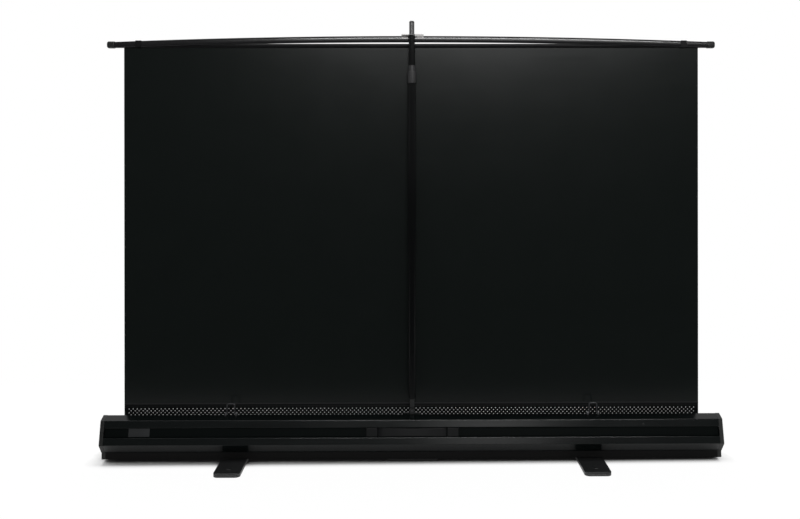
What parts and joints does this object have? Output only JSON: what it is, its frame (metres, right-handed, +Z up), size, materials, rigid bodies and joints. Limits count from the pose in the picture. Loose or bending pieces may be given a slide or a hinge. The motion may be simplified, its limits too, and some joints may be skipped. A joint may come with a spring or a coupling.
{
  "type": "portable projection screen",
  "caption": "Floor-standing pull-up projection screen: a long case on swivel feet, sprung roller, black-backed cloth, bowed top bar and a folding telescopic pole.",
  "frame": {"origin": "on the floor, under the middle of the case", "axes": "+X along the case, -Y towards the pole side that the picture shows, +Z up"},
  "size_m": [1.971, 0.382, 1.4087],
  "materials": {
    "case_black": "glossy black lacquer on extruded aluminium",
    "cap_black": "moulded black plastic",
    "handle_black": "satin black plastic",
    "plate_grey": "brushed blank plate",
    "foot_black": "moulded black nylon, lightly grained",
    "rubber_black": "matte",
    "zinc_steel": "zinc plated",
    "roller_alu": "mill finish",
    "plug_black": "moulded",
    "cloth_black": "coated black back, matte white front with a black border",
    "band_black": "perforated coated leader",
    "bar_black": "glossy black lacquer",
    "hook_grey": "satin plate",
    "pole_black": "black anodised tube",
    "lock_black": "moulded grip",
    "wire_steel": "bright drawn wire"
  },
  "bodies": {
    "case": {"rear_shell": "case_black", "front_shell": "case_black", "base_rail": "case_black", "end_cap_left": "cap_black", "end_cap_right": "cap_black", "end_cap_screws": "zinc_steel", "flange_rivets": "zinc_steel", "handle_blocks": "handle_black", "blank_plate": "plate_grey", "face_screw": "cap_black", "centre_pad": "rubber_black", "foot_bolts": "zinc_steel", "foot_washers": "zinc_steel", "foot_nuts": "zinc_steel", "roller_bracket_left": "zinc_steel", "roller_bracket_right": "zinc_steel", "spring_spindle": "zinc_steel", "counter_spring": "zinc_steel", "pole_bracket": "cap_black", "pole_bracket_screws": "zinc_steel", "pivot_pin": "zinc_steel", "bail_ears_left": "zinc_steel", "bail_ears_right": "zinc_steel"},
    "handle": {"handle_grip": "handle_black", "handle_posts": "zinc_steel", "handle_stops": "zinc_steel"},
    "foot_left": {"foot_left": "foot_black", "foot_pads_left": "rubber_black"},
    "foot_right": {"foot_right": "foot_black", "foot_pads_right": "rubber_black"},
    "roller": {"roller_tube": "roller_alu", "cloth_roll": "cloth_black", "roller_plug_left": "plug_black", "roller_plug_right": "plug_black", "gudgeon_pin": "zinc_steel", "spring_anchor": "plug_black"},
    "top_bar": {"screen_rod": "bar_black", "bow_bar": "bar_black", "bar_cap_left": "cap_black", "bar_cap_right": "cap_black", "bow_clips": "cap_black", "hook_plate": "hook_grey", "hook_screws": "zinc_steel", "hook_tabs": "hook_grey", "screen_cloth": "cloth_black", "cloth_hem": "cloth_black", "leader_band": "band_black"},
    "lower_pole": {"pole_stem": "cap_black", "lower_tube": "pole_black"},
    "sleeve": {"sleeve_tube": "pole_black", "lock_bush": "lock_black"},
    "lock": {"lock_nut": "lock_black"},
    "top_pole": {"top_tube": "pole_black", "spigot": "pole_black", "spigot_cap": "lock_black"},
    "bail_left": {"bail_left": "wire_steel"},
    "bail_right": {"bail_right": "wire_steel"}
  },
  "joints": [
    {"name": "screen_lower", "type": "slide", "parent": "case", "child": "top_bar", "axis": [0, 0, -1], "range_m": [0, 0.53], "deforming": ["screen_cloth", "cloth_hem", "leader_band"]},
    {"name": "sleeve_slide", "type": "slide", "parent": "lower_pole", "child": "sleeve", "axis": [0, 0, -1], "range_m": [0, 0.44]},
    {"name": "top_tube_slide", "type": "slide", "parent": "sleeve", "child": "top_pole", "axis": [0, 0, -1], "range_m": [0, 0.09]},
    {"name": "roller_turn", "type": "hinge", "parent": "case", "child": "roller", "pos_m": [0, -0.016, 0.0655], "axis": [1, 0, 0], "range_deg": [-1015, 0]},
    {"name": "pole_fold", "type": "hinge", "parent": "case", "child": "lower_pole", "pos_m": [0, -0.012, 0.158], "axis": [0, 1, 0], "range_deg": [0, 90]},
    {"name": "lock_twist", "type": "hinge", "parent": "sleeve", "child": "lock", "pos_m": [0, -0.012, 1.22], "axis": [0, 0, 1], "range_deg": [0, 90]},
    {"name": "foot_left_swivel", "type": "hinge", "parent": "case", "child": "foot_left", "pos_m": [-0.566, 0, 0.007], "axis": [0, 0, 1], "range_deg": [0, 90]},
    {"name": "foot_right_swivel", "type": "hinge", "parent": "case", "child": "foot_right", "pos_m": [0.566, 0, 0.007], "axis": [0, 0, 1], "range_deg": [-90, 0]},
    {"name": "bail_left_swing", "type": "hinge", "parent": "case", "child": "bail_left", "pos_m": [-0.579, -0.032, 0.1511], "axis": [1, 0, 0], "range_deg": [0, 100]},
    {"name": "bail_right_swing", "type": "hinge", "parent": "case", "child": "bail_right", "pos_m": [0.579, -0.032, 0.1511], "axis": [1, 0, 0], "range_deg": [0, 100]},
    {"name": "handle_pull", "type": "slide", "parent": "case", "child": "handle", "axis": [0, -1, 0], "range_m": [0, 0.015]}
  ],
  "couplings": [
    {"joint": "sleeve_slide", "follows": "screen_lower", "ratio": 0.83019},
    {"joint": "top_tube_slide", "follows": "screen_lower", "ratio": 0.16981},
    {"joint": "roller_turn", "follows": "screen_lower", "rad_per_m": -33.333}
  ]
}
